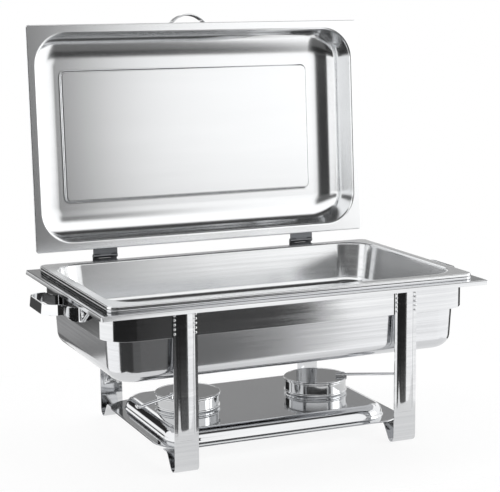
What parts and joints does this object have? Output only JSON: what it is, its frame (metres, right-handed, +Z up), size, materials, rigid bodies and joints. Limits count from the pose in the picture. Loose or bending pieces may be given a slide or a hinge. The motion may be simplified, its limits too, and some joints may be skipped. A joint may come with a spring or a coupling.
{
  "type": "chafing dish food warmer",
  "caption": "Rectangular stainless steel chafing dish with its hinged lid open upright, nested water and food pans, a strip-leg stand and gel fuel burners on a low shelf.",
  "frame": {"origin": "bottom centre of the bounding box with the lid open: floor level, half way along the width, half way between the front flange and the back of the open lid", "axes": "+X to the right along the long side, +Y from the front towards the hinges at the back, +Z up"},
  "size_m": [0.632, 0.425, 0.5859],
  "materials": {
    "satin_steel": "fine brushed stainless steel",
    "polished_steel": "mirror-polished stainless steel",
    "chrome_fittings": "bright plated",
    "fuel_gel": "translucent pale gel"
  },
  "bodies": {
    "stand": {"bracket_rivet_left_1": "satin_steel", "bracket_rivet_left_2": "satin_steel", "bracket_rivet_right_1": "satin_steel", "bracket_rivet_right_2": "satin_steel", "fuel_shelf": "polished_steel", "handle_rivet_left_front": "chrome_fittings", "handle_rivet_left_rear": "chrome_fittings", "handle_rivet_right_front": "chrome_fittings", "handle_rivet_right_rear": "chrome_fittings", "hinge_bracket_left": "satin_steel", "hinge_bracket_right": "satin_steel", "hinge_pin_left": "polished_steel", "hinge_pin_right": "polished_steel", "leg_front_left": "satin_steel", "leg_front_right": "satin_steel", "leg_rear_left": "satin_steel", "leg_rear_right": "satin_steel", "side_handle_left": "chrome_fittings", "side_handle_right": "chrome_fittings", "upper_frame": "satin_steel"},
    "lid": {"hinge_leaf_left": "satin_steel", "hinge_leaf_right": "satin_steel", "lid_handle": "chrome_fittings", "lid_handle_rivet_1": "chrome_fittings", "lid_handle_rivet_2": "chrome_fittings", "lid_shell": "satin_steel"},
    "water_pan_body": {"water_pan": "satin_steel"},
    "food_pan_body": {"food_pan": "satin_steel"},
    "burner_left": {"burner_pot_left": "polished_steel", "fuel_gel_left": "fuel_gel", "burner_pivot_left": "chrome_fittings"},
    "damper_left": {"burner_cover_left": "polished_steel", "burner_arm_left": "chrome_fittings"},
    "burner_right": {"burner_pot_right": "polished_steel", "fuel_gel_right": "fuel_gel", "burner_pivot_right": "chrome_fittings"},
    "damper_right": {"burner_cover_right": "polished_steel", "burner_arm_right": "chrome_fittings"}
  },
  "joints": [
    {"name": "lid_hinge", "type": "hinge", "parent": "stand", "child": "lid", "pos_m": [0, 0.14013, 0.2354], "axis": [1, 0, 0], "range_deg": [0, 93.63]},
    {"name": "water_pan_lift", "type": "slide", "parent": "stand", "child": "water_pan_body", "axis": [0, 0, 1], "range_m": [0, 0.2]},
    {"name": "food_pan_lift", "type": "slide", "parent": "water_pan_body", "child": "food_pan_body", "axis": [0, 0, 1], "range_m": [0, 0.16]},
    {"name": "burner_left_slide", "type": "slide", "parent": "stand", "child": "burner_left", "axis": [0, -1, 0], "range_m": [0, 0.04]},
    {"name": "damper_left_swing", "type": "hinge", "parent": "burner_left", "child": "damper_left", "pos_m": [-0.13236, -0.05726, 0.062], "axis": [0, 0, 1], "range_deg": [0, 90]},
    {"name": "burner_right_slide", "type": "slide", "parent": "stand", "child": "burner_right", "axis": [0, -1, 0], "range_m": [0, 0.04]},
    {"name": "damper_right_swing", "type": "hinge", "parent": "burner_right", "child": "damper_right", "pos_m": [0.13455, -0.05375, 0.062], "axis": [0, 0, 1], "range_deg": [-90, 0]}
  ]
}
